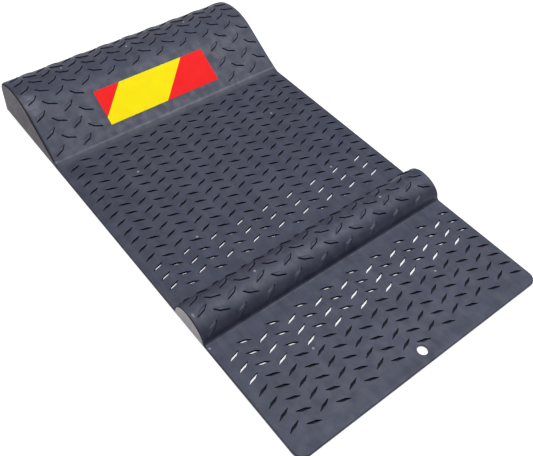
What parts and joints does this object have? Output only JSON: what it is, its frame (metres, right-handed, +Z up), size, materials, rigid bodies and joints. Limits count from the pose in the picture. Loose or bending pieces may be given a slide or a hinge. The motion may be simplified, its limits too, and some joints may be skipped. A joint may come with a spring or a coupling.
{
  "type": "parking stop mat",
  "caption": "Moulded plastic garage parking mat: slotted diamond-pattern plates, a low approach hump, a tall ramped stop hump with a striped warning label, and grip strips underneath.",
  "frame": {"origin": "on the ground under the middle of the mat's footprint", "axes": "+X across the mat to the right, +Y from the front edge that the tyre meets first to the stop hump, +Z up"},
  "size_m": [0.26, 0.456, 0.0414],
  "materials": {
    "moulded_plastic": "satin moulded polypropylene, dark slate grey, faintly mottled",
    "grip_foam": "dull closed-cell grip foam",
    "label_red": "smooth printed reflective film",
    "label_yellow": "smooth printed reflective film"
  },
  "bodies": {
    "root": {"front_plate": "moulded_plastic", "approach_hump": "moulded_plastic", "long_plate": "moulded_plastic", "stop_hump": "moulded_plastic", "approach_rib_1": "moulded_plastic", "approach_rib_2": "moulded_plastic", "approach_rib_3": "moulded_plastic", "approach_rib_4": "moulded_plastic", "approach_rib_5": "moulded_plastic", "stop_rib_1": "moulded_plastic", "stop_rib_2": "moulded_plastic", "stop_rib_3": "moulded_plastic", "stop_rib_4": "moulded_plastic", "stop_rib_5": "moulded_plastic", "grip_strip_front": "grip_foam", "grip_strip_middle_front": "grip_foam", "grip_strip_middle_rear": "grip_foam", "grip_strip_rear": "grip_foam", "label_red_left": "label_red", "label_yellow_band": "label_yellow", "label_red_right": "label_red"}
  },
  "joints": []
}
